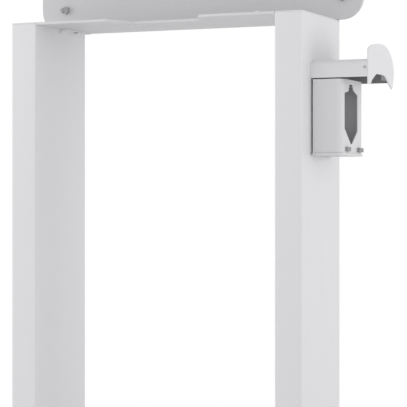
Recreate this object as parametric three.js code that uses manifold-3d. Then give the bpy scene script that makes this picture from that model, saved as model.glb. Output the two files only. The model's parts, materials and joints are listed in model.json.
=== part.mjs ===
// Walk-through security gate: two posts, a notched lintel, a lockable header housing behind them,
// and a side unit with a channel arm, an end plate and a docking pocket. Millimetres, +Z up.
// Drawn from the middle of the passage (X), the posts' front faces (Y) and the floor (Z).
import * as THREE from "three";
import { mergeVertices } from "three/addons/utils/BufferGeometryUtils.js";
import Module from "manifold-3d";

const wasm = await Module();
wasm.setup();

// ---- driving dimensions ----
const GAP = 0.3; // clearance between touching pieces
const FRAME_TOP = 2100;
const CLEAR_HALF = 374; // half the clear passage
const POST = { width: 80, depth: 312, wall: 2.5, edge: 4 };
const OUTER_HALF = CLEAR_HALF + POST.width;
const CAP_THICK = 3;
const FOOT = { thick: 8, marginX: 34, marginY: 30, edge: 10 };
const ANCHOR = { shank: 5, head: 9, headHigh: 7, washer: 12, washerThick: 2.5, inset: 16 };
const LINTEL = { high: 7, sheet: 2, lip: 2.5 };
const NOTCH = { mouthHalf: 146, backHalf: 101, deep: 94 };
const LIP_TAB = { x: 322, half: 7, high: 3 };
const CLEAT = { leg: 24, drop: 11, thick: 3, front: 150, back: 300, screw: 3, head: 6 };
const DOOR = { half: 523, low: 4, high: 264, corner: 64, sheet: 2, deep: 15 };
const CASE = { half: 430, low: 18, high: 252, front: 330, back: 430, sheet: 2, lip: 14 };
const BRACKET = { inner: 400, outer: 445, thick: 5, drop: 130, shelfBack: 400 };
const BOLT = { shank: 4, head: 7, headHigh: 5 };
const LOCK = { x: 450, z: 69, barrel: 6, rim: 8, rimHigh: 3, core: 4, camLong: 15, camHalf: 4.5 };
const PADDLE = { offset: 13, half: 8, crown: 9, shoulder: -3, tip: -14, thick: 5 };
const KEEPER = { reach: 9, sheet: 1.6, back: 26, half: 16 };
const HINGE = { x: 300, half: 40, pin: 2, knuckle: 4.5, y: 336, z: 258, leaf: 2, leafDeep: 30 };
const ARM = { end: 617.5, front: 70, back: 271, top: -133, bottom: -182, backBottom: -188, wall: 2, edge: 17 };
const PLATE = { thick: 3, tab: 24, tabLow: -180, tabTop: -151 };
// The end plate's edge, as depth behind the posts' fronts and drop below the frame's top.
const PLATE_FRONT = { toe: [70, -202], heel: [92, -202], ankle: [102, -190] };
const PLATE_ARCH = {
  rise: [132, -175],
  bend: [142, -170],
  crown: [152, 206],
  turn: [216, -170],
  fall: [226, -176],
};
const PLATE_BACK = { ankle: [262, -196], heel: [281, -205], tip: [284, -204], side: [299, -160] };
const PLATE_DOME = { back: [299, -122], backPull: [258, -86], top: [192, -85], frontPull: [142, -85] };
const PLATE_BROW = { pull: [100, -92], end: [75, -104], corner: [70, -107], down: [70, -112] };
const PLATE_HEEL_PULL = [
  [292, -190],
  [299, -176],
];
const DOCK = {
  left: 459,
  right: 547,
  front: 70,
  back: 235,
  top: -185.5,
  bottom: -388.5,
  wall: 2.5,
  corner: 20,
};
const MOUTH = { front: 87, back: 197, top: -199, bottom: -364 };
const NECK = { front: 127, back: 154 };
const BASE = { thick: 7, proud: 3, shadowGap: 0.5, heel: 6 };
const CONTENTS_LIFT = 50; // the electronics stand this far above the case floor
const BOARD = { half: 130, low: 10, high: 130, proud: 14, thick: 1.6, standoff: 3.5 };
const CHIPS = [
  [-60, -20, 18, 50, 90],
  [10, 36, 17, 60, 86],
  [60, 112, 27, 96, 122],
]; // left, right, height off the wall, low, high
const SUPPLY = { left: -360, right: -212, high: 118, proud: 38 };
const FIN = { count: 6, left: -352, wide: 12, pitch: 24, low: 8, high: 110, proud: 46 };
const TERMINALS = { left: 212, right: 316, low: 24, high: 60, proud: 26 };
const WAYS = { count: 7, first: 222, pitch: 14, middle: 42 };
const SOUNDER = { x: 358, z: 60, radius: 26, proud: 28, slotHalf: 18, slotHigh: 4, slotPitch: 12 };
const CONDUIT = { x: 519, outer: 8, inner: 5.5, top: -167 };
const BUMPERS = [
  ["front", 106, 13],
  ["back", 210, 17],
];
const BUMPER_PROUD = 8;
const LOOM_RADIUS = 3.5;

const gate = new THREE.Group();
gate.name = "security_gate";

// ---- helpers ----
const AXIS_X = new THREE.Matrix4().makeBasis(
  new THREE.Vector3(0, 1, 0),
  new THREE.Vector3(0, 0, 1),
  new THREE.Vector3(1, 0, 0),
);
const AXIS_Y = new THREE.Matrix4().makeBasis(
  new THREE.Vector3(1, 0, 0),
  new THREE.Vector3(0, 0, 1),
  new THREE.Vector3(0, -1, 0),
);

function solid(geometry) {
  const bare = geometry.clone();
  bare.deleteAttribute("normal");
  bare.deleteAttribute("uv");
  const merged = mergeVertices(bare, 1e-4);
  return new wasm.Manifold(
    new wasm.Mesh({
      numProp: 3,
      vertProperties: new Float32Array(merged.attributes.position.array),
      triVerts: new Uint32Array(merged.index.array),
    }),
  );
}

function geometryOf(manifold) {
  const mesh = manifold.getMesh();
  const geometry = new THREE.BufferGeometry();
  geometry.setAttribute("position", new THREE.BufferAttribute(mesh.vertProperties, 3));
  geometry.setIndex(new THREE.BufferAttribute(mesh.triVerts, 1));
  geometry.computeVertexNormals();
  return geometry;
}

const join = (first, ...more) =>
  geometryOf(more.reduce((sum, piece) => sum.add(solid(piece)), solid(first)));
const cut = (first, ...more) =>
  geometryOf(more.reduce((rest, piece) => rest.subtract(solid(piece)), solid(first)));

function box(x0, x1, y0, y1, z0, z1) {
  const geometry = new THREE.BoxGeometry(x1 - x0, y1 - y0, z1 - z0);
  return geometry.translate((x0 + x1) / 2, (y0 + y1) / 2, (z0 + z1) / 2);
}

function extrude(shape, length, curveSegments = 6) {
  return new THREE.ExtrudeGeometry(shape, { depth: length, bevelEnabled: false, curveSegments });
}

// The shape's plane is XY, and it runs up from low to high.
const extrudeZ = (shape, low, high) => extrude(shape, high - low).translate(0, 0, low);
// The shape's plane is XZ, and it runs from front to back.
const extrudeY = (shape, front, back) =>
  extrude(shape, back - front).applyMatrix4(AXIS_Y).translate(0, back, 0);
// The shape's plane is YZ, and it runs from left to right.
const extrudeX = (shape, left, right) =>
  extrude(shape, right - left, 10).applyMatrix4(AXIS_X).translate(left, 0, 0);

function polygon(points) {
  return new THREE.Shape(points.map(([x, y]) => new THREE.Vector2(x, y)));
}

// A rectangle with its own radius at each corner: low-left, low-right, high-right, high-left.
function rounded(x0, x1, y0, y1, radii) {
  const [lowLeft, lowRight, highRight, highLeft] = Array.isArray(radii) ? radii : [radii, radii, radii, radii];
  const shape = new THREE.Shape();
  shape.moveTo(x0 + lowLeft, y0);
  shape.lineTo(x1 - lowRight, y0);
  if (lowRight) shape.absarc(x1 - lowRight, y0 + lowRight, lowRight, -Math.PI / 2, 0, false);
  shape.lineTo(x1, y1 - highRight);
  if (highRight) shape.absarc(x1 - highRight, y1 - highRight, highRight, 0, Math.PI / 2, false);
  shape.lineTo(x0 + highLeft, y1);
  if (highLeft) shape.absarc(x0 + highLeft, y1 - highLeft, highLeft, Math.PI / 2, Math.PI, false);
  shape.lineTo(x0, y0 + lowLeft);
  if (lowLeft) shape.absarc(x0 + lowLeft, y0 + lowLeft, lowLeft, Math.PI, 1.5 * Math.PI, false);
  return shape;
}

// A round bar between two points on a line along one axis.
function rod(axis, radius, from, to, centre, sides = 24) {
  const bar = new THREE.CylinderGeometry(radius, radius, to - from, sides);
  const middle = (from + to) / 2;
  if (axis === "x") return bar.rotateZ(Math.PI / 2).translate(middle, centre[0], centre[1]);
  if (axis === "y") return bar.translate(centre[0], middle, centre[1]);
  return bar.rotateX(Math.PI / 2).translate(centre[0], centre[1], middle);
}

function add(name, geometry, colour) {
  const material = new THREE.MeshStandardMaterial({ color: colour, roughness: 0.5 });
  const mesh = new THREE.Mesh(geometry, material);
  mesh.name = name;
  gate.add(mesh);
}

const WHITE = 0xe8e8e6;
const GREY = 0xb8babc;
const STEEL = 0x9a9ca0;
const DARK = 0x2c2d30;
const GREEN = 0x1f5b34;
const SIDES = [
  ["left", -1],
  ["right", 1],
];
// Low and high X of a span that starts `near` and ends `far` from the middle, on one side.
const span = (side, near, far) => (side > 0 ? [near, far] : [-far, -near]);

// ---- posts, caps and feet ----
const DOCK_BOLTS = [-225, -345].map((drop) => FRAME_TOP + drop);
const DOCK_BOLT_Y = 152;
const ARM_BOLTS_Y = [110, 230];
const ARM_BOLT_Z = FRAME_TOP - 160;
const ARM_CABLE = { y: 170, z: FRAME_TOP - 160 };
const LOOM = { x: 387, y: 350, entry: FRAME_TOP - 40 };
const BRACKET_BOLT_X = (BRACKET.inner + BRACKET.outer) / 2;
const BRACKET_BOLT_Z = FRAME_TOP - 75;

function post(name, side) {
  const [x0, x1] = span(side, CLEAR_HALF, OUTER_HALF);
  const low = FOOT.thick + GAP;
  const high = FRAME_TOP - CAP_THICK - GAP;
  const tube = cut(
    extrudeZ(rounded(x0, x1, 0, POST.depth, POST.edge), low, high),
    box(x0 + POST.wall, x1 - POST.wall, POST.wall, POST.depth - POST.wall, low - 1, high + 1),
    rod("y", BOLT.shank + GAP, POST.depth - 10, POST.depth + 10, [side * BRACKET_BOLT_X, BRACKET_BOLT_Z]),
  );
  const holes = [];
  if (side > 0) {
    for (const z of DOCK_BOLTS) holes.push(rod("x", BOLT.shank + GAP, x1 - 10, x1 + 10, [DOCK_BOLT_Y, z]));
    for (const y of ARM_BOLTS_Y) holes.push(rod("x", BOLT.shank + GAP, x1 - 10, x1 + 10, [y, ARM_BOLT_Z]));
    holes.push(rod("x", LOOM_RADIUS + 2, x1 - 10, x1 + 10, [ARM_CABLE.y, ARM_CABLE.z]));
    holes.push(rod("y", LOOM_RADIUS + 2, POST.depth - 10, POST.depth + 10, [LOOM.x, LOOM.entry]));
  }
  add(name + "_post", holes.length ? cut(tube, ...holes) : tube, WHITE);
  add(
    name + "_post_cap",
    extrudeZ(rounded(x0, x1, 0, POST.depth, POST.edge), FRAME_TOP - CAP_THICK, FRAME_TOP),
    WHITE,
  );
}

function foot(name, side) {
  const [x0, x1] = span(side, CLEAR_HALF - FOOT.marginX, OUTER_HALF + FOOT.marginX);
  const y0 = -FOOT.marginY;
  const y1 = POST.depth + FOOT.marginY;
  const spots = [x0 + ANCHOR.inset, x1 - ANCHOR.inset].flatMap((x) =>
    [y0 + ANCHOR.inset, y1 - ANCHOR.inset].map((y) => [x, y]),
  );
  const holes = spots.map((spot) => rod("z", ANCHOR.shank + GAP, -1, FOOT.thick + 1, spot));
  add(name + "_foot_plate", cut(extrudeZ(rounded(x0, x1, y0, y1, FOOT.edge), 0, FOOT.thick), ...holes), STEEL);
  spots.forEach((spot, i) => {
    const top = FOOT.thick + GAP;
    const washerTop = top + ANCHOR.washerThick;
    const anchor = join(
      rod("z", ANCHOR.shank, 0.5, washerTop, spot),
      rod("z", ANCHOR.washer, top, washerTop, spot),
      rod("z", ANCHOR.head, washerTop - 0.5, washerTop + ANCHOR.headHigh, spot, 6),
    );
    add(`${name}_anchor_${i + 1}`, anchor, STEEL);
  });
}

// ---- lintel: an upturned tray with a wide notch in its front edge ----
function trayOutline(inset, notchGrow) {
  const side = CLEAR_HALF - GAP - inset;
  const front = inset;
  const back = POST.depth - inset;
  const mouth = NOTCH.mouthHalf + notchGrow;
  const rear = NOTCH.backHalf + notchGrow;
  const deep = NOTCH.deep + notchGrow;
  return polygon([
    [-side, front],
    [-mouth, front],
    [-rear, deep],
    [rear, deep],
    [mouth, front],
    [side, front],
    [side, back],
    [-side, back],
  ]);
}

const CLEAT_SCREW_Y = (CLEAT.front + CLEAT.back) / 2;

function lintel() {
  const low = FRAME_TOP - LINTEL.high;
  const tray = cut(
    extrudeZ(trayOutline(0, 0), low, FRAME_TOP),
    extrudeZ(trayOutline(LINTEL.lip, LINTEL.lip), low + LINTEL.sheet, FRAME_TOP + 1),
    ...SIDES.map(([, side]) =>
      rod("z", CLEAT.screw + GAP, low - 1, low + LINTEL.high, [side * (CLEAR_HALF - 15), CLEAT_SCREW_Y]),
    ),
  );
  const tab = box(
    LIP_TAB.x - LIP_TAB.half,
    LIP_TAB.x + LIP_TAB.half,
    0,
    LINTEL.lip,
    FRAME_TOP - 4,
    FRAME_TOP + LIP_TAB.high,
  );
  add("lintel_tray", join(tray, tab), WHITE);
}

function cleat(name, side) {
  const top = FRAME_TOP - LINTEL.high - GAP;
  const x0 = CLEAR_HALF - GAP;
  const profile = polygon([
    [x0 * side, top],
    [(x0 - CLEAT.leg) * side, top],
    [(x0 - CLEAT.leg) * side, top - CLEAT.thick],
    [(x0 - CLEAT.thick) * side, top - CLEAT.thick],
    [(x0 - CLEAT.thick) * side, top - CLEAT.drop],
    [x0 * side, top - CLEAT.drop],
  ]);
  const spot = [side * (CLEAR_HALF - 15), CLEAT_SCREW_Y];
  const angle = cut(
    extrudeY(profile, CLEAT.front, CLEAT.back),
    rod("z", CLEAT.screw + GAP, top - 10, top + 10, spot),
  );
  add("lintel_cleat_" + name, angle, WHITE);
  const head = top - CLEAT.thick - GAP;
  add(
    "lintel_screw_" + name,
    join(
      rod("z", CLEAT.head, head - 3, head, spot),
      rod("z", CLEAT.screw, head - 1, FRAME_TOP - LINTEL.high + LINTEL.sheet + 3, spot),
    ),
    STEEL,
  );
}

// ---- header: case on two brackets behind the posts, with a top-hung door ----
function bracket(name, side) {
  const [x0, x1] = span(side, BRACKET.inner, BRACKET.outer);
  const t = BRACKET.thick;
  const back = POST.depth + GAP;
  const knee = FRAME_TOP - 8;
  const riser = CASE.front + GAP;
  const shelf = FRAME_TOP + CASE.low - GAP;
  const profile = polygon([
    [back, FRAME_TOP - BRACKET.drop],
    [back + t, FRAME_TOP - BRACKET.drop],
    [back + t, knee - t],
    [riser + t, knee - t],
    [riser + t, shelf - t],
    [BRACKET.shelfBack, shelf - t],
    [BRACKET.shelfBack, shelf],
    [riser, shelf],
    [riser, knee],
    [back, knee],
  ]);
  const spot = [side * BRACKET_BOLT_X, BRACKET_BOLT_Z];
  const hole = rod("y", BOLT.shank + GAP, back - 5, back + t + 5, spot);
  add("header_bracket_" + name, cut(extrudeX(profile, x0, x1), hole), STEEL);
  const head = back + t + GAP;
  add(
    "bracket_bolt_" + name,
    join(
      rod("y", BOLT.head, head, head + BOLT.headHigh, spot, 6),
      rod("y", BOLT.shank, POST.depth - 12, head + 1, spot),
    ),
    STEEL,
  );
}

function headerCase() {
  const z0 = FRAME_TOP + CASE.low;
  const z1 = FRAME_TOP + CASE.high;
  const s = CASE.sheet;
  const shell = cut(
    box(-CASE.half, CASE.half, CASE.front, CASE.back, z0, z1),
    box(-CASE.half + s, CASE.half - s, CASE.front + s, CASE.back - s, z0 + s, z1 - s),
    box(
      -CASE.half + CASE.lip,
      CASE.half - CASE.lip,
      CASE.front - 1,
      CASE.front + s + 1,
      z0 + CASE.lip,
      z1 - CASE.lip,
    ),
    rod("z", LOOM_RADIUS + 2, z0 - 5, z0 + s + 5, [LOOM.x, LOOM.y]),
  );
  add("header_case", shell, GREY);
}

function door() {
  const z0 = FRAME_TOP + DOOR.low;
  const z1 = FRAME_TOP + DOOR.high;
  const s = DOOR.sheet;
  const inner = rounded(-DOOR.half + s, DOOR.half - s, z0 + s, z1 - s, DOOR.corner - s);
  const tray = cut(
    extrudeY(rounded(-DOOR.half, DOOR.half, z0, z1, DOOR.corner), POST.depth, POST.depth + DOOR.deep),
    extrudeY(inner, POST.depth + s, POST.depth + DOOR.deep + 1),
    ...SIDES.map(([, side]) =>
      rod("y", LOCK.barrel + GAP, POST.depth - 1, POST.depth + s + 1, [side * LOCK.x, FRAME_TOP + LOCK.z]),
    ),
  );
  add("header_door", tray, GREY);
}

function hinge(name, side) {
  const [x0, x1] = span(side, HINGE.x - HINGE.half, HINGE.x + HINGE.half);
  const third = (x1 - x0) / 3;
  const axis = [HINGE.y, FRAME_TOP + HINGE.z];
  const top = FRAME_TOP + CASE.high + GAP;
  const bore = rod("x", HINGE.pin + 0.2, x0 - 5, x1 + 5, axis, 16);
  const gapBetween = box(
    x0 + third - 0.4,
    x1 - third + 0.4,
    HINGE.y - 12,
    HINGE.y + HINGE.knuckle + 1,
    top - 5,
    top + 20,
  );
  const fixed = cut(
    join(
      rod("x", HINGE.knuckle, x0, x1, axis),
      box(x0, x1, HINGE.y, HINGE.y + HINGE.leafDeep, top, top + HINGE.leaf),
    ),
    gapBetween,
    bore,
  );
  add("hinge_leaf_case_" + name, fixed, STEEL);
  const face = POST.depth + DOOR.sheet + GAP;
  const moving = cut(
    join(
      rod("x", HINGE.knuckle, x0 + third, x1 - third, axis),
      box(x0 + third, x1 - third, face, HINGE.y - 1, axis[1] - 1, axis[1] + 1),
      box(x0 + third, x1 - third, face, face + HINGE.leaf, axis[1] - 36, axis[1] + 1),
    ),
    bore,
  );
  add("hinge_leaf_door_" + name, moving, STEEL);
  add("hinge_pin_" + name, rod("x", HINGE.pin, x0 - 1, x1 + 1, axis, 16), STEEL);
}

function lock(name, side) {
  const spot = [side * LOCK.x, FRAME_TOP + LOCK.z];
  const front = POST.depth - GAP;
  const back = POST.depth + DOOR.sheet + 17;
  const housing = cut(
    join(
      rod("y", LOCK.rim, front - LOCK.rimHigh, front, spot, 32),
      rod("y", LOCK.barrel, front - 1, back, spot, 32),
    ),
    rod("y", LOCK.core + 0.2, front - LOCK.rimHigh - 1, back + 1, spot),
  );
  add(`${name}_lock_barrel`, housing, DARK);
  const face = front - LOCK.rimHigh - GAP;
  const shield = polygon([
    [PADDLE.offset - 1, PADDLE.tip],
    [PADDLE.offset + 2, PADDLE.tip],
    [PADDLE.offset + PADDLE.half, PADDLE.shoulder],
    [PADDLE.offset + PADDLE.half, PADDLE.crown - 3],
    [PADDLE.offset + PADDLE.half - 3, PADDLE.crown],
    [PADDLE.offset - PADDLE.half + 2, PADDLE.crown + 1],
    [PADDLE.offset - PADDLE.half + 1, PADDLE.shoulder - 2],
  ]);
  const paddle = extrudeY(shield, face - 2 - PADDLE.thick, face - 2).translate(spot[0], 0, spot[1]);
  const knob = join(
    rod("y", LOCK.core, face - 5, back + 3.5, spot),
    rod("y", 6, face - 6, face, spot),
    box(spot[0], spot[0] + PADDLE.offset, face - 5, face - 2.5, spot[1] - 2.5, spot[1] + 2.5),
    paddle,
  );
  add(`${name}_lock_knob`, knob, DARK);
  const camFront = back + GAP;
  const cam = cut(
    join(
      rod("y", LOCK.camHalf + 2, camFront, camFront + 3, spot),
      box(
        spot[0] - LOCK.camHalf,
        spot[0] + LOCK.camHalf,
        camFront,
        camFront + 3,
        spot[1] - LOCK.camLong,
        spot[1],
      ),
    ),
    rod("y", LOCK.core + 0.1, camFront - 1, camFront + 4, spot),
  );
  add(`${name}_lock_cam`, cam, STEEL);
  const wall = CASE.half + GAP;
  const lip = front + DOOR.sheet + 15;
  const keeperProfile = polygon([
    [side * wall, lip],
    [side * (wall + KEEPER.reach), lip],
    [side * (wall + KEEPER.reach), lip + KEEPER.sheet],
    [side * (wall + KEEPER.sheet), lip + KEEPER.sheet],
    [side * (wall + KEEPER.sheet), CASE.front + KEEPER.back],
    [side * wall, CASE.front + KEEPER.back],
  ]);
  add(`${name}_lock_keeper`, extrudeZ(keeperProfile, spot[1] - KEEPER.half, spot[1] + KEEPER.half), STEEL);
}

// ---- electronics inside the header case ----
function electronics() {
  const wall = CASE.back - CASE.sheet - GAP;
  const low = FRAME_TOP + CASE.low + CONTENTS_LIFT;
  const boardFront = wall - BOARD.proud;
  const standoffs = [-120, 120].flatMap((x) => [20, 120].map((z) => [x, low + z]));
  const board = join(
    box(-BOARD.half, BOARD.half, boardFront, boardFront + BOARD.thick, low + BOARD.low, low + BOARD.high),
    ...standoffs.map((spot) => rod("y", BOARD.standoff, boardFront + BOARD.thick - 0.1, wall, spot, 12)),
    ...CHIPS.map(([x0, x1, proud, z0, z1]) => box(x0, x1, wall - proud, boardFront + 1, low + z0, low + z1)),
  );
  add("controller_board", board, GREEN);
  const fins = Array.from({ length: FIN.count }, (_, i) => {
    const x = FIN.left + i * FIN.pitch;
    return box(x, x + FIN.wide, wall - FIN.proud, wall - SUPPLY.proud + 1, low + FIN.low, low + FIN.high);
  });
  const supply = box(SUPPLY.left, SUPPLY.right, wall - SUPPLY.proud, wall, low, low + SUPPLY.high);
  add("power_supply", join(supply, ...fins), STEEL);
  const ways = Array.from({ length: WAYS.count }, (_, i) => {
    const spot = [WAYS.first + i * WAYS.pitch, low + WAYS.middle];
    return rod("y", 3, wall - TERMINALS.proud - 4, wall - TERMINALS.proud + 6, spot, 10);
  });
  const strip = box(
    TERMINALS.left,
    TERMINALS.right,
    wall - TERMINALS.proud,
    wall,
    low + TERMINALS.low,
    low + TERMINALS.high,
  );
  add("terminal_block", cut(strip, ...ways), DARK);
  const slots = [-1, 0, 1].map((step) => {
    const z = low + SOUNDER.z + step * SOUNDER.slotPitch;
    const half = SOUNDER.slotHigh / 2;
    return box(
      SOUNDER.x - SOUNDER.slotHalf,
      SOUNDER.x + SOUNDER.slotHalf,
      wall - SOUNDER.proud - 12,
      wall - SOUNDER.proud + 4,
      z - half,
      z + half,
    );
  });
  const can = rod("y", SOUNDER.radius, wall - SOUNDER.proud, wall, [SOUNDER.x, low + SOUNDER.z], 32);
  add("sounder", cut(can, ...slots), DARK);
}

// One cable bundle: header case, down the post, through the arm's root and into the dock.
function loom() {
  const points = [
    [LOOM.x, LOOM.y, FRAME_TOP + 60],
    [LOOM.x, LOOM.y, FRAME_TOP + CASE.low],
    [LOOM.x, LOOM.y - 2, LOOM.entry + 16],
    [LOOM.x, LOOM.y - 16, LOOM.entry],
    [LOOM.x, POST.depth - 10, LOOM.entry],
    [LOOM.x + 4, POST.depth - 60, LOOM.entry - 24],
    [LOOM.x + 16, 190, ARM_CABLE.z + 16],
    [OUTER_HALF - 22, ARM_CABLE.y, ARM_CABLE.z],
    [OUTER_HALF + 14, ARM_CABLE.y, ARM_CABLE.z],
    [OUTER_HALF + 36, ARM_CABLE.y, ARM_CABLE.z + 6],
    [CONDUIT.x - 11, ARM_CABLE.y, ARM_CABLE.z + 11],
    [CONDUIT.x - 2, ARM_CABLE.y, ARM_CABLE.z + 3],
    [CONDUIT.x, ARM_CABLE.y, FRAME_TOP + CONDUIT.top],
    [CONDUIT.x, ARM_CABLE.y, FRAME_TOP + CONDUIT.top - 8],
    [CONDUIT.x, ARM_CABLE.y, FRAME_TOP + DOCK.top],
    [CONDUIT.x, ARM_CABLE.y, FRAME_TOP + DOCK.top - 7],
  ].map(([x, y, z]) => new THREE.Vector3(x, y, z));
  const path = new THREE.CatmullRomCurve3(points, false, "centripetal");
  const round = new THREE.Shape().absarc(0, 0, LOOM_RADIUS, 0, 2 * Math.PI, false);
  const cable = new THREE.ExtrudeGeometry(round, { extrudePath: path, steps: 90, curveSegments: 10 });
  add("wiring_loom", geometryOf(solid(cable)), DARK);
}

// ---- side unit on the right post ----
function armProfile(inset, low) {
  const high = FRAME_TOP + ARM.top - inset;
  const edge = ARM.edge - inset;
  return rounded(ARM.front + inset, ARM.back - inset, low, high, [0, 0, edge, edge]);
}

const PLATE_SCREW = { x: ARM.end - 7, z: FRAME_TOP - 156, radius: 2, head: 3.8 };

function arm() {
  const x0 = OUTER_HALF + GAP;
  const low = FRAME_TOP + ARM.backBottom;
  const rake = polygon([
    [ARM.front - 1, low - 1],
    [ARM.back, low - 1],
    [ARM.back, low],
    [ARM.front, FRAME_TOP + ARM.bottom],
    [ARM.front - 1, FRAME_TOP + ARM.bottom],
  ]);
  const channel = cut(
    extrudeX(armProfile(0, low), x0, ARM.end),
    extrudeX(rake, x0 - 1, ARM.end + 1),
    extrudeX(armProfile(ARM.wall, low - 1), x0 + ARM.wall, ARM.end + 1),
    ...ARM_BOLTS_Y.map((y) => rod("x", BOLT.shank + GAP, x0 - 5, x0 + 8, [y, ARM_BOLT_Z])),
    rod("x", LOOM_RADIUS + 2, x0 - 5, x0 + 8, [ARM_CABLE.y, ARM_CABLE.z]),
    rod("y", PLATE_SCREW.radius + GAP, ARM.front - 5, ARM.back + 5, [PLATE_SCREW.x, PLATE_SCREW.z]),
  );
  add("arm_channel", channel, WHITE);
  ARM_BOLTS_Y.forEach((y, i) => {
    const head = x0 + ARM.wall + GAP;
    const bolt = join(
      rod("x", BOLT.head, head, head + BOLT.headHigh, [y, ARM_BOLT_Z], 6),
      rod("x", BOLT.shank, OUTER_HALF - 12, head + 1, [y, ARM_BOLT_Z]),
    );
    add(`arm_bolt_${i + 1}`, bolt, STEEL);
  });
}

// An upright plate with a domed top, two unequal legs and an arched cut-out between them.
function endPlate() {
  const z = (drop) => FRAME_TOP + drop;
  const at = ([depth, drop]) => [depth, z(drop)];
  const [crownFront, crownBack] = PLATE_ARCH.crown.map((depth) => [depth, PLATE_ARCH.bend[1]]);
  const outline = new THREE.Shape();
  outline.moveTo(...at(PLATE_FRONT.toe));
  outline.lineTo(...at(PLATE_FRONT.heel));
  outline.lineTo(...at(PLATE_FRONT.ankle));
  outline.lineTo(...at(PLATE_ARCH.rise));
  outline.quadraticCurveTo(...at(PLATE_ARCH.bend), ...at(crownFront));
  outline.lineTo(...at(crownBack));
  outline.quadraticCurveTo(...at(PLATE_ARCH.turn), ...at(PLATE_ARCH.fall));
  outline.lineTo(...at(PLATE_BACK.ankle));
  outline.lineTo(...at(PLATE_BACK.heel));
  outline.lineTo(...at(PLATE_BACK.tip));
  outline.bezierCurveTo(...PLATE_HEEL_PULL.flatMap(at), ...at(PLATE_BACK.side));
  outline.bezierCurveTo(...at(PLATE_DOME.back), ...at(PLATE_DOME.backPull), ...at(PLATE_DOME.top));
  outline.bezierCurveTo(...at(PLATE_DOME.frontPull), ...at(PLATE_BROW.pull), ...at(PLATE_BROW.end));
  outline.quadraticCurveTo(...at(PLATE_BROW.corner), ...at(PLATE_BROW.down));
  const left = ARM.end + GAP;
  const inner = [ARM.front + ARM.wall + GAP, ARM.back - ARM.wall - GAP];
  const tabs = [
    [inner[0], inner[0] + 2],
    [inner[1] - 2, inner[1]],
  ].map(([y0, y1]) => box(left - PLATE.tab, left + 1, y0, y1, z(PLATE.tabLow), z(PLATE.tabTop)));
  const plate = join(extrudeX(outline, left, left + PLATE.thick), ...tabs);
  const hole = rod("y", PLATE_SCREW.radius + GAP, ARM.front - 5, ARM.back + 5, [PLATE_SCREW.x, PLATE_SCREW.z]);
  add("arm_end_plate", cut(plate, hole), WHITE);
  const spot = [PLATE_SCREW.x, PLATE_SCREW.z];
  const faces = [
    ["front", ARM.front - GAP, -1],
    ["back", ARM.back + GAP, 1],
  ];
  for (const [name, face, way] of faces) {
    const head = [face, face + way * 2].sort((a, b) => a - b);
    const shank = [face - way * 8, face + way].sort((a, b) => a - b);
    const screw = join(
      rod("y", PLATE_SCREW.head, head[0], head[1], spot),
      rod("y", PLATE_SCREW.radius, shank[0], shank[1], spot),
    );
    add("end_plate_screw_" + name, screw, STEEL);
  }
}

function dockOutline(inset) {
  const corner = DOCK.corner - inset;
  return rounded(
    DOCK.left + inset,
    DOCK.right - inset,
    DOCK.front + inset,
    DOCK.back - inset,
    [3, corner, 6, 3],
  );
}

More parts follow.
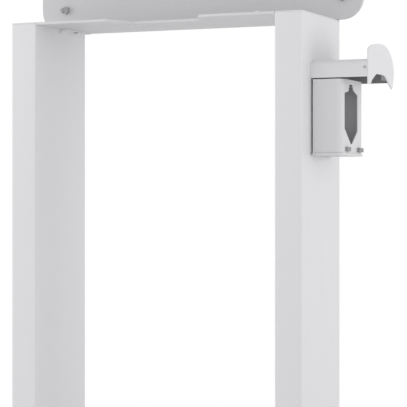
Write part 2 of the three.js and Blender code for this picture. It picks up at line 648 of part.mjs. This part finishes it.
function dock() {
  const z0 = FRAME_TOP + DOCK.bottom;
  const z1 = FRAME_TOP + DOCK.top;
  const low = FRAME_TOP + MOUTH.bottom;
  const high = FRAME_TOP + MOUTH.top;
  const mouth = polygon([
    [MOUTH.front, high - 25],
    [NECK.front - 8, high - 19],
    [NECK.front, high],
    [NECK.back, high],
    [NECK.back + 8, high - 14],
    [MOUTH.back, high - 27],
    [MOUTH.back, low + 38],
    [NECK.back, low + 4],
    [NECK.back - 8, low],
    [NECK.front + 12, low],
    [MOUTH.front, low + 42],
  ]);
  const holes = DOCK_BOLTS.map((z) =>
    rod("x", BOLT.shank + GAP, DOCK.left - 5, DOCK.left + 8, [DOCK_BOLT_Y, z]),
  );
  const shell = cut(
    extrudeZ(dockOutline(0), z0, z1),
    extrudeZ(dockOutline(DOCK.wall), z0 + DOCK.wall, z1 - DOCK.wall),
    extrudeX(mouth, DOCK.right - DOCK.corner, DOCK.right + 5),
    rod("z", CONDUIT.inner, z1 - 8, z1 + 5, [CONDUIT.x, ARM_CABLE.y]),
    ...holes,
  );
  add("dock_box", shell, WHITE);

  const inner = DOCK.wall + 0.5;
  const liner = cut(
    box(DOCK.left + 16, DOCK.right - 9, DOCK.front + 12, DOCK.back - inner, z0 + inner, z1 - 14),
    box(DOCK.left + 19, DOCK.right + 5, DOCK.front + 15, DOCK.back - inner - 3, z0 + inner + 3, z1 - 17),
  );
  add("dock_liner", liner, DARK);

  const base = rounded(
    DOCK.left,
    DOCK.right + BASE.proud,
    DOCK.front - BASE.proud,
    DOCK.back + BASE.proud,
    [3, DOCK.corner, 8, 3],
  );
  const baseTop = z0 - BASE.shadowGap;
  const baseLow = baseTop - BASE.thick;
  const heelBack = DOCK.back + BASE.proud;
  const underHeel = new THREE.Shape();
  underHeel.moveTo(heelBack - BASE.heel, baseLow);
  underHeel.absarc(heelBack - BASE.heel, baseLow + BASE.heel, BASE.heel, -Math.PI / 2, 0, false);
  underHeel.lineTo(heelBack + 1, baseLow + BASE.heel);
  underHeel.lineTo(heelBack + 1, baseLow - 1);
  underHeel.lineTo(heelBack - BASE.heel, baseLow - 1);
  const heelCut = extrudeX(underHeel, DOCK.left - 1, DOCK.right + BASE.proud + 1);
  add("dock_base", cut(extrudeZ(base, baseLow, baseTop), heelCut), WHITE);

  const conduit = cut(
    rod("z", CONDUIT.outer, z1 + GAP, FRAME_TOP + CONDUIT.top, [CONDUIT.x, ARM_CABLE.y]),
    rod("z", CONDUIT.inner, z1 - 1, FRAME_TOP + CONDUIT.top + 1, [CONDUIT.x, ARM_CABLE.y]),
  );
  add("dock_conduit", conduit, GREY);

  for (const [name, y, half] of BUMPERS) {
    const pad = rounded(y - half, y + half, z0 + 4, z0 + 16, 2);
    add("dock_bumper_" + name, extrudeX(pad, DOCK.right + GAP, DOCK.right + BUMPER_PROUD), GREY);
  }

  DOCK_BOLTS.forEach((z, i) => {
    const name = ["upper", "lower"][i];
    const spot = [DOCK_BOLT_Y, z];
    const spacer = cut(
      rod("x", 14, OUTER_HALF + GAP, DOCK.left - GAP, spot),
      rod("x", BOLT.shank + GAP, OUTER_HALF - 1, DOCK.left + 1, spot),
    );
    add("dock_spacer_" + name, spacer, DARK);
    const head = DOCK.left + DOCK.wall + GAP;
    const bolt = join(
      rod("x", BOLT.head, head, head + BOLT.headHigh, spot, 6),
      rod("x", BOLT.shank, OUTER_HALF - 12, head + 1, spot),
    );
    add("dock_bolt_" + name, bolt, STEEL);
  });
}

for (const [name, side] of SIDES) {
  post(name, side);
  foot(name, side);
  cleat(name, side);
  bracket(name, side);
  hinge(name, side);
  lock(name, side);
}
lintel();
headerCase();
door();
electronics();
loom();
arm();
endPlate();
dock();

// The frame's origin: the middle of the footprint, on the floor.
const extent = new THREE.Box3().setFromObject(gate);
gate.position.set(-(extent.min.x + extent.max.x) / 2, -(extent.min.y + extent.max.y) / 2, -extent.min.z);
gate.updateMatrixWorld(true);

export default gate;
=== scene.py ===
"""Looks of the walk-through security gate: materials, softened edges, studio light and camera."""

import json
import math

import bmesh
import bpy
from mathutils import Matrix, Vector


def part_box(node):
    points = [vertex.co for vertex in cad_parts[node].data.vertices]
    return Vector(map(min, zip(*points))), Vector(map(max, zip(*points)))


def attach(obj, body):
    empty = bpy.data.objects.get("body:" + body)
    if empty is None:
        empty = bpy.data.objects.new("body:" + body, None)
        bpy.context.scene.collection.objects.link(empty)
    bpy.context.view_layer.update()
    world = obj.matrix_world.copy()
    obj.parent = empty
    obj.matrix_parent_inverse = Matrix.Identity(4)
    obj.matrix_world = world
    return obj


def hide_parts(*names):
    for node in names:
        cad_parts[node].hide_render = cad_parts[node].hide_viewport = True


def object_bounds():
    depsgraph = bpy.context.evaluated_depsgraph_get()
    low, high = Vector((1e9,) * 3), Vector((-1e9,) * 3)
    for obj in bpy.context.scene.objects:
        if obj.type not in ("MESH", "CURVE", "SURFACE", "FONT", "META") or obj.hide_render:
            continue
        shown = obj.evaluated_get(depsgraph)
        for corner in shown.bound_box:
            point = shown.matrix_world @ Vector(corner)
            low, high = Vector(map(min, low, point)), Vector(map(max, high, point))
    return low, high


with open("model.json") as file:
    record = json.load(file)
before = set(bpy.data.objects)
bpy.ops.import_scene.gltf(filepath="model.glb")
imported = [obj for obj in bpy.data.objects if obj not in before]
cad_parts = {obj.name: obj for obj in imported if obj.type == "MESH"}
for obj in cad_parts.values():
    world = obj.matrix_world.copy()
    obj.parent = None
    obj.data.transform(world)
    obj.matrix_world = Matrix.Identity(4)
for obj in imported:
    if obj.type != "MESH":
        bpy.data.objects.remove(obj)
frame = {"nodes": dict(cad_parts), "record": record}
NODES = frame["nodes"]
BODIES = frame["record"]["behaviour"]["bodies"]
BODY_OF = {node: body for body, members in BODIES.items() for node in members}
SLOT_OF = {row["node"]: row["material_slot"] for row in frame["record"]["subparts"]}
CAD_BOX = [list(corner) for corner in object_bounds()]

# ---- edges ----
# How round the folded or moulded edges are, in metres, by node.
EDGE = {
    "left_post": 0.0006,
    "right_post": 0.0006,
    "left_post_cap": 0.0006,
    "right_post_cap": 0.0006,
    "lintel_tray": 0.0005,
    "header_door": 0.0007,
    "header_case": 0.0006,
    "arm_channel": 0.0006,
    "arm_end_plate": 0.0009,
    "dock_box": 0.0008,
    "dock_base": 0.0014,
    "left_foot_plate": 0.0012,
    "right_foot_plate": 0.0012,
}
DEFAULT_EDGE = 0.0004
EDGE_STEPS = 2
SHARP_ANGLE = math.radians(28)
FLAT_ANGLE = math.radians(1)
WELD_DISTANCE = 1e-6

# ---- camera ----
FILM_WIDTH = 36.0
LENS = 154.79
CAMERA_TURN = math.radians(23.777)
CAMERA_FROM_POST_CORNER = Vector((1.6781, -4.4737, -0.5285))
CAMERA_REACH = 100

# ---- studio ----
# A small floor, and a bright surround that dims overhead.
FLOOR_SIZE = 8.0
FLOOR_GAP = 0.0005
FLOOR_TONE = 0.82
SKY_FADE = (0.25, 0.95)
SKY_TOP = 0.50
# Soft lamps: name, place, what it points at, side of its square, power.
LAMPS = [
    ("side_light", (6.5, 0.5, 1.2), (0, 0, 1.2), 3.0, 45),
    ("left_fill", (-4.2, -1.6, 2.4), (-0.5, 0, 1.9), 2.0, 40),
]

# ---- paints and plastics ----
# Powder coats: base colour, roughness, grain, colour drift, colour of a rubbed edge.
POWDER_COATS = {
    "frame_paint": ((0.765, 0.76, 0.78), 0.45, 420.0, 0.015, (0.86, 0.86, 0.87)),
    # The lintel paint is the frame paint made darker, as painted shade under the lintel.
    "lintel_paint": ((0.675, 0.67, 0.685), 0.48, 420.0, 0.015, (0.80, 0.80, 0.81)),
    "header_paint": ((0.60, 0.597, 0.61), 0.5, 520.0, 0.02, (0.70, 0.70, 0.71)),
    # The dock paint is darker than the frame paint partly as painted shade for the front of the dock
    # box.
    "dock_paint": ((0.70, 0.695, 0.71), 0.42, 480.0, 0.02, (0.80, 0.80, 0.81)),
}
# Moulded plastics and rubber: base colour, roughness, grain.
MOULDINGS = {
    "liner_grey": ((0.58, 0.58, 0.59), 0.6, 650.0),
    "dark_plastic": ((0.045, 0.046, 0.05), 0.55, 700.0),
    "rubber": ((0.022, 0.022, 0.023), 0.75, 500.0),
    "pad_grey": ((0.30, 0.30, 0.31), 0.6, 600.0),
    # The darker grey for the arm channel's inner faces is painted shade, not a real coat.
    "inside_painted_shade": ((0.30, 0.30, 0.305), 0.7, 400.0),
}
# How far roughness drifts below and above its base value.
ROUGHNESS_DRIFT = (-0.06, 0.08)
# Pointiness at which an edge starts to look rubbed, and where it is fully so.
WEAR_RANGE = (0.52, 0.62)
PAINT_WEAR = 0.35
STEEL_WEAR = 0.5
LOCK_WEAR = 0.6
MOULDING_WEAR = 0.25
MOULDING_WEAR_LIGHTER = 1.8
# The height, as a share of a channel's own, of the line that its inner faces look towards; the faces
# that look towards it get painted shade.
PAINTED_SHADE_MIDDLE = 0.25

# Mix nodes in colour mode: their two colour inputs and their colour output.
MIX_FIRST, MIX_SECOND, MIX_COLOUR = 6, 7, 2


# ---- material helpers ----
class Nodes:
    """A short way to build one material's node tree."""

    def __init__(self, name, base, roughness, metallic=0.0):
        self.material = bpy.data.materials.new(name)
        self.material.use_nodes = True
        self.tree = self.material.node_tree
        self.shader = self.tree.nodes["Principled BSDF"]
        self.shader.inputs["Roughness"].default_value = roughness
        self.shader.inputs["Metallic"].default_value = metallic
        self.base = base
        self.coordinates = self.add("ShaderNodeTexCoord").outputs["Object"]

    def add(self, kind, **settings):
        node = self.tree.nodes.new(kind)
        for key, value in settings.items():
            setattr(node, key, value)
        return node

    def link(self, source, target):
        self.tree.links.new(source, target)

    def noise(self, scale, detail=3.0, roughness=0.5, stretch=(1, 1, 1)):
        mapping = self.add("ShaderNodeMapping")
        mapping.inputs["Scale"].default_value = stretch
        self.link(self.coordinates, mapping.inputs["Vector"])
        node = self.add("ShaderNodeTexNoise")
        node.inputs["Scale"].default_value = scale
        node.inputs["Detail"].default_value = detail
        node.inputs["Roughness"].default_value = roughness
        self.link(mapping.outputs["Vector"], node.inputs["Vector"])
        return node.outputs["Fac"]

    def rough(self, value, low, high):
        """Roughness that drifts between low and high along value."""
        node = self.add("ShaderNodeMapRange")
        node.inputs["To Min"].default_value = low
        node.inputs["To Max"].default_value = high
        self.link(value, node.inputs["Value"])
        self.link(node.outputs["Result"], self.shader.inputs["Roughness"])

    def shade(self, value, spread):
        """Base colour that drifts darker and lighter by spread along value."""
        node = self.add("ShaderNodeMix", data_type="RGBA")
        darker = tuple(channel * (1 - spread) for channel in self.base)
        lighter = tuple(min(1, channel * (1 + spread)) for channel in self.base)
        node.inputs[MIX_FIRST].default_value = darker + (1,)
        node.inputs[MIX_SECOND].default_value = lighter + (1,)
        self.link(value, node.inputs["Factor"])
        return node.outputs[MIX_COLOUR]

    def paint(self, colour, wear, tint):
        """Base colour, with tint by the share wear where the surface is sharply convex."""
        geometry = self.add("ShaderNodeNewGeometry")
        worn = self.add("ShaderNodeMapRange")
        worn.inputs["From Min"].default_value = WEAR_RANGE[0]
        worn.inputs["From Max"].default_value = WEAR_RANGE[1]
        worn.inputs["To Max"].default_value = wear
        self.link(geometry.outputs["Pointiness"], worn.inputs["Value"])
        node = self.add("ShaderNodeMix", data_type="RGBA")
        node.inputs[MIX_SECOND].default_value = tuple(tint) + (1,)
        self.link(worn.outputs["Result"], node.inputs["Factor"])
        self.link(colour, node.inputs[MIX_FIRST])
        self.link(node.outputs[MIX_COLOUR], self.shader.inputs["Base Color"])

    def bump(self, value, strength, distance):
        node = self.add("ShaderNodeBump")
        node.inputs["Strength"].default_value = strength
        node.inputs["Distance"].default_value = distance
        self.link(value, node.inputs["Height"])
        self.link(node.outputs["Normal"], self.shader.inputs["Normal"])


def powder_coat(name, base, roughness, grain, spread, rubbed):
    """Sprayed powder coat: fine orange peel, slow colour drift, rubbed edges."""
    m = Nodes(name, base, roughness)
    m.paint(m.shade(m.noise(3.0, detail=4.0), spread), PAINT_WEAR, rubbed)
    m.rough(m.noise(14.0), roughness + ROUGHNESS_DRIFT[0], roughness + ROUGHNESS_DRIFT[1])
    m.bump(m.noise(grain, detail=2.0), strength=0.12, distance=0.0004)
    m.shader.inputs["Specular IOR Level"].default_value = 0.4
    return m.material


def zinc_steel():
    """Zinc-plated steel: brushed along its length, with spangle-like tone changes."""
    m = Nodes("steel", (0.42, 0.42, 0.43), 0.4, metallic=1.0)
    m.paint(m.shade(m.noise(60.0), 0.18), STEEL_WEAR, (0.66, 0.66, 0.67))
    m.rough(m.noise(90.0, detail=4.0, stretch=(1, 1, 9)), 0.28, 0.52)
    m.bump(m.noise(160.0, stretch=(1, 1, 8)), strength=0.15, distance=0.0002)
    return m.material


def lock_metal():
    """Grey satin metal of the locks."""
    m = Nodes("lock_black", (0.33, 0.33, 0.345), 0.42, metallic=0.3)
    m.paint(m.shade(m.noise(120.0), 0.2), LOCK_WEAR, (0.3, 0.3, 0.31))
    m.rough(m.noise(200.0), 0.32, 0.52)
    m.bump(m.noise(900.0), strength=0.1, distance=0.0001)
    return m.material


def moulded(name, base, roughness, grain):
    """Moulded plastic or rubber: spark-eroded grain and slight tone drift."""
    m = Nodes(name, base, roughness)
    rubbed = tuple(channel * MOULDING_WEAR_LIGHTER for channel in base)
    m.paint(m.shade(m.noise(25.0, detail=4.0), 0.12), MOULDING_WEAR, rubbed)
    m.rough(m.noise(60.0), roughness + ROUGHNESS_DRIFT[0], roughness + ROUGHNESS_DRIFT[1])
    m.bump(m.noise(grain, detail=2.0), strength=0.3, distance=0.0002)
    return m.material


def solder_mask():
    """Circuit board: green mask over faint tracks."""
    m = Nodes("circuit_board", (0.03, 0.15, 0.07), 0.3)
    tracks = m.add("ShaderNodeTexBrick")
    tracks.inputs["Scale"].default_value = 90.0
    tracks.inputs["Color1"].default_value = (0.025, 0.13, 0.06, 1)
    tracks.inputs["Color2"].default_value = (0.035, 0.17, 0.08, 1)
    tracks.inputs["Mortar"].default_value = (0.06, 0.26, 0.12, 1)
    turned = m.add("ShaderNodeMapping")
    turned.inputs["Rotation"].default_value = (math.pi / 2, 0, 0)
    m.link(m.coordinates, turned.inputs["Vector"])
    m.link(turned.outputs["Vector"], tracks.inputs["Vector"])
    m.link(tracks.outputs["Color"], m.shader.inputs["Base Color"])
    m.bump(tracks.outputs["Fac"], strength=0.2, distance=0.0001)
    return m.material


MATERIALS = {name: powder_coat(name, *values) for name, values in POWDER_COATS.items()}
MATERIALS.update({name: moulded(name, *values) for name, values in MOULDINGS.items()})
MATERIALS["steel"] = zinc_steel()
MATERIALS["lock_black"] = lock_metal()
MATERIALS["circuit_board"] = solder_mask()


# ---- pieces ----
def paint_inside_shade(piece, node):
    """The faces that look inwards, under a channel, get a darker grey as painted shade."""
    low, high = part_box(node)
    middle = (low + high) / 2
    middle.z = low.z + (high.z - low.z) * PAINTED_SHADE_MIDDLE
    piece.data.materials.append(MATERIALS["inside_painted_shade"])
    for face in piece.data.polygons:
        if face.normal.dot(middle - face.center) > 0:
            face.material_index = 1


def clean_mesh(node):
    """A CAD node's mesh with one face per flat side."""
    mesh = bmesh.new()
    mesh.from_mesh(NODES[node].data)
    bmesh.ops.remove_doubles(mesh, verts=mesh.verts, dist=WELD_DISTANCE)
    bmesh.ops.dissolve_limit(mesh, angle_limit=FLAT_ANGLE, verts=mesh.verts, edges=mesh.edges)
    data = bpy.data.meshes.new(node + "_shell")
    mesh.to_mesh(data)
    mesh.free()
    for face in data.polygons:
        face.use_smooth = True
    data.set_sharp_from_angle(angle=SHARP_ANGLE)
    return data


def soften(node):
    """A detailed copy of a CAD node, with clean flat faces and rounded edges, that stands for it."""
    piece = bpy.data.objects.new(node + "_shell", clean_mesh(node))
    bpy.context.scene.collection.objects.link(piece)
    piece.data.materials.append(MATERIALS[SLOT_OF[node]])
    bevel = piece.modifiers.new("edges", "BEVEL")
    bevel.width = EDGE.get(node, DEFAULT_EDGE)
    bevel.segments = EDGE_STEPS
    bevel.limit_method = "ANGLE"
    bevel.angle_limit = SHARP_ANGLE
    bevel.use_clamp_overlap = True
    bevel.harden_normals = True
    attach(piece, BODY_OF[node])
    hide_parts(node)
    return piece


# ---- studio ----
def lay_floor():
    low = Vector(CAD_BOX[0])
    bpy.ops.mesh.primitive_plane_add(size=FLOOR_SIZE, location=(0, 0, low.z - FLOOR_GAP))
    floor = bpy.context.object
    floor.name = "studio_floor"
    paper = Nodes("studio_paper", (FLOOR_TONE, FLOOR_TONE, FLOOR_TONE), 0.9)
    paper.link(paper.shade(paper.noise(0.6), 0.01), paper.shader.inputs["Base Color"])
    floor.data.materials.append(paper.material)


def surround():
    world = bpy.data.worlds.new("studio_world")
    world.use_nodes = True
    tree = world.node_tree
    height = tree.nodes.new("ShaderNodeSeparateXYZ")
    direction = tree.nodes.new("ShaderNodeTexCoord")
    tree.links.new(direction.outputs["Generated"], height.inputs[0])
    fade = tree.nodes.new("ShaderNodeMapRange")
    fade.inputs["From Min"].default_value = SKY_FADE[0]
    fade.inputs["From Max"].default_value = SKY_FADE[1]
    fade.inputs["To Min"].default_value = 1.0
    fade.inputs["To Max"].default_value = SKY_TOP
    tree.links.new(height.outputs["Z"], fade.inputs["Value"])
    tree.links.new(fade.outputs["Result"], tree.nodes["Background"].inputs["Strength"])
    tree.nodes["Background"].inputs["Color"].default_value = (1, 1, 1, 1)
    bpy.context.scene.world = world
    bpy.context.scene.view_settings.view_transform = "Standard"


def lamp(name, place, target, size, power):
    light = bpy.data.lights.new(name, "AREA")
    light.shape = "SQUARE"
    light.size = size
    light.energy = power
    holder = bpy.data.objects.new(name, light)
    bpy.context.scene.collection.objects.link(holder)
    holder.location = place
    holder.rotation_euler = (Vector(target) - Vector(place)).to_track_quat("-Z", "Y").to_euler()


def camera():
    """The photograph's view: level, turned to the left, low enough to show the undersides."""
    post_low, post_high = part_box("right_post")
    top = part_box("right_post_cap")[1].z
    data = bpy.data.cameras.new("photo_camera")
    data.sensor_width = FILM_WIDTH
    data.lens = LENS
    data.clip_end = CAMERA_REACH
    view = bpy.data.objects.new("photo_camera", data)
    bpy.context.scene.collection.objects.link(view)
    view.location = Vector((post_high.x, post_low.y, top)) + CAMERA_FROM_POST_CORNER
    view.rotation_euler = (math.pi / 2, 0, CAMERA_TURN)
    bpy.context.scene.camera = view


for node_name in sorted(NODES):
    shell = soften(node_name)
    # The arm channel's inner and lower faces get painted shade.
    if node_name == "arm_channel":
        paint_inside_shade(shell, node_name)
lay_floor()
surround()
camera()
for settings in LAMPS:
    lamp(*settings)
